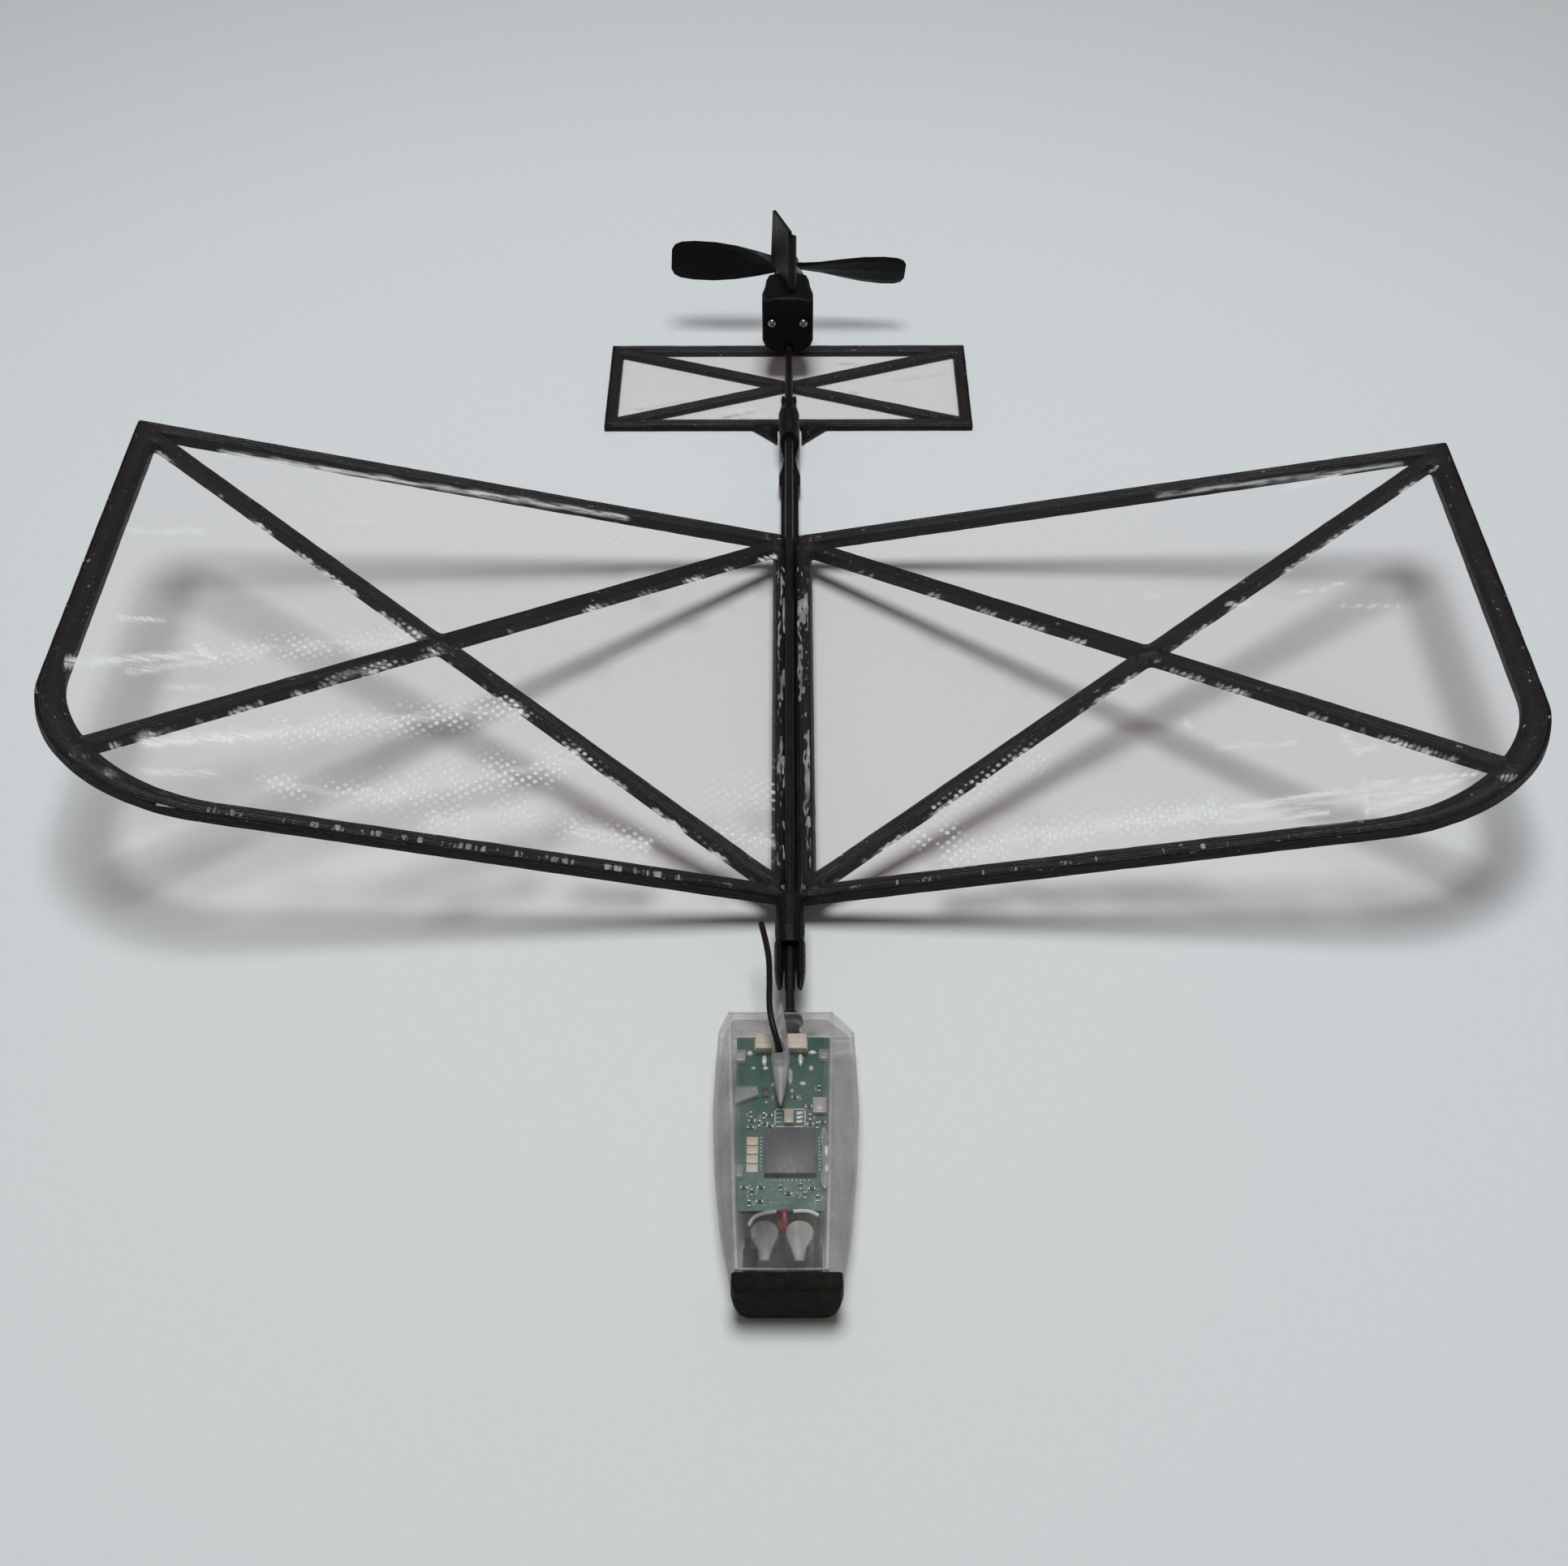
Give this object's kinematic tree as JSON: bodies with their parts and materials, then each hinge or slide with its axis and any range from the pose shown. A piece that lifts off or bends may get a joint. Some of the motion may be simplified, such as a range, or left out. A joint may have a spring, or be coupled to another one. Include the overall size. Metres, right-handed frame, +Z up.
{
  "type": "rubber band plane",
  "caption": "Lightweight printed glider airframe with film-covered wings and tail, carrying a slide-in electric power module with pusher propeller and swinging rudder.",
  "frame": {"origin": "centre of the bounding box footprint, on the ground the plane rests on", "axes": "-Y to the nose, +Y to the propeller, +X to the pilot's side seen from the nose as right in the view along +Y, +Z up"},
  "size_m": [0.2091, 0.21, 0.0302],
  "materials": {
    "black_print": "layered matt print",
    "clear_film": "thin wrinkled clear film",
    "clear_shell": "clear moulding",
    "bumper_rubber": "matt rubber",
    "carbon": "satin carbon tube",
    "steel": "bright metal",
    "board_green": "soldermask",
    "chip_black": "moulded package",
    "tan_ceramic": "ceramic",
    "cream_plastic": "moulded nylon",
    "battery_foil": "foil pouch",
    "red_wire": "insulation",
    "dark_wire": "insulation",
    "copper_coil": "enamelled copper",
    "gloss_black": "gloss black moulding"
  },
  "bodies": {
    "airframe": {"fuselage_bar": "black_print", "front_rod_clip": "black_print", "rear_rod_clip": "black_print", "left_wing_frame": "black_print", "right_wing_frame": "black_print", "left_wing_film": "clear_film", "right_wing_film": "clear_film", "stabilizer_frame": "black_print", "stabilizer_film": "clear_film", "tail_joint_strip": "clear_shell"},
    "power_module": {"carbon_rod": "carbon", "lead_bundle": "red_wire", "rod_socket": "clear_shell", "pod_upper_shell": "clear_shell", "pod_lower_shell": "clear_shell", "pod_spine": "clear_shell", "bumper": "bumper_rubber", "circuit_board": "board_green", "main_chip": "chip_black", "crystal_can": "steel", "rf_chip": "tan_ceramic", "motor_connector": "cream_plastic", "rudder_connector": "cream_plastic", "battery": "battery_foil", "battery_lead_red": "red_wire", "battery_lead_black": "dark_wire", "bumper_post_left": "clear_shell", "bumper_post_right": "clear_shell", "antenna_wire": "dark_wire", "motor_housing": "gloss_black", "motor_can": "steel", "motor_end_cap": "cream_plastic", "rudder_coil": "copper_coil", "housing_rivet_left": "steel", "housing_rivet_right": "steel", "rudder_pin": "steel"},
    "propeller_unit": {"propeller": "gloss_black", "motor_shaft": "steel"},
    "rudder_unit": {"rudder": "black_print"}
  },
  "joints": [
    {"name": "module_slide", "type": "slide", "parent": "airframe", "child": "power_module", "axis": [0, 1, 0], "range_m": [-0.006, 0.004]},
    {"name": "propeller_spin", "type": "hinge", "parent": "power_module", "child": "propeller_unit", "pos_m": [-0.00108, 0.1, 0.0133], "axis": [0, 1, 0], "continuous": true},
    {"name": "rudder_swing", "type": "hinge", "parent": "power_module", "child": "rudder_unit", "pos_m": [-0.00053, 0.08775, 0.0178], "axis": [0, 0, 1], "range_deg": [-46.6, 3.4]}
  ]
}
